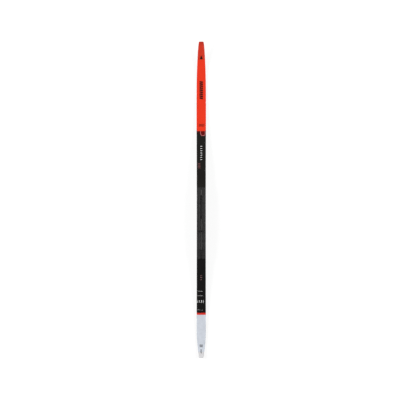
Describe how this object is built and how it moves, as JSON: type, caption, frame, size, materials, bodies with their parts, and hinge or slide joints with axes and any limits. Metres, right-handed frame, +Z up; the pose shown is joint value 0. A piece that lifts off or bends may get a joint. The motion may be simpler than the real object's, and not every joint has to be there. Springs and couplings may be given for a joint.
{
  "type": "cross country ski",
  "caption": "Long narrow cross country racing ski with a low upturned tip, arched camber, laminated build and a flat rail plate bonded on top to take a boot binding.",
  "frame": {"origin": "bottom centre of the ski's box: midway between tip and tail, midway across, on the snow surface", "axes": "+Y towards the tip, +Z up through the binding plate, +X to the ski's right"},
  "size_m": [0.046, 1.53, 0.0422],
  "materials": {
    "running_base": "ground sintered polyethylene",
    "carbon_laminate": "woven fibre in resin",
    "sidewall": "satin",
    "dense_wood": "planed",
    "light_wood": "planed",
    "filler": "matte",
    "reinforcement_metal": "rolled",
    "topsheet_film": "printed film, satin gloss",
    "tip_plastic": "satin",
    "tail_plastic": "satin",
    "bonding_pad": "matte",
    "plate_plastic": "fine moulded texture",
    "rack_plastic": "moulded, satin"
  },
  "bodies": {
    "root": {"base_sheet": "running_base", "lower_laminate": "carbon_laminate", "sidewall_left": "sidewall", "sidewall_right": "sidewall", "core_stringer_left": "dense_wood", "core_stringer_right": "dense_wood", "core_front": "light_wood", "core_binding_block": "dense_wood", "core_rear": "light_wood", "tip_spacer": "filler", "tail_spacer": "filler", "binding_reinforcement": "reinforcement_metal", "upper_laminate": "carbon_laminate", "topsheet": "topsheet_film", "tip_protector": "tip_plastic", "tail_protector": "tail_plastic", "plate_pad_front": "bonding_pad", "plate_pad_rear": "bonding_pad", "binding_plate_front": "plate_plastic", "binding_plate_rear": "plate_plastic", "rack_insert_front": "rack_plastic", "rack_insert_rear": "rack_plastic"}
  },
  "joints": []
}
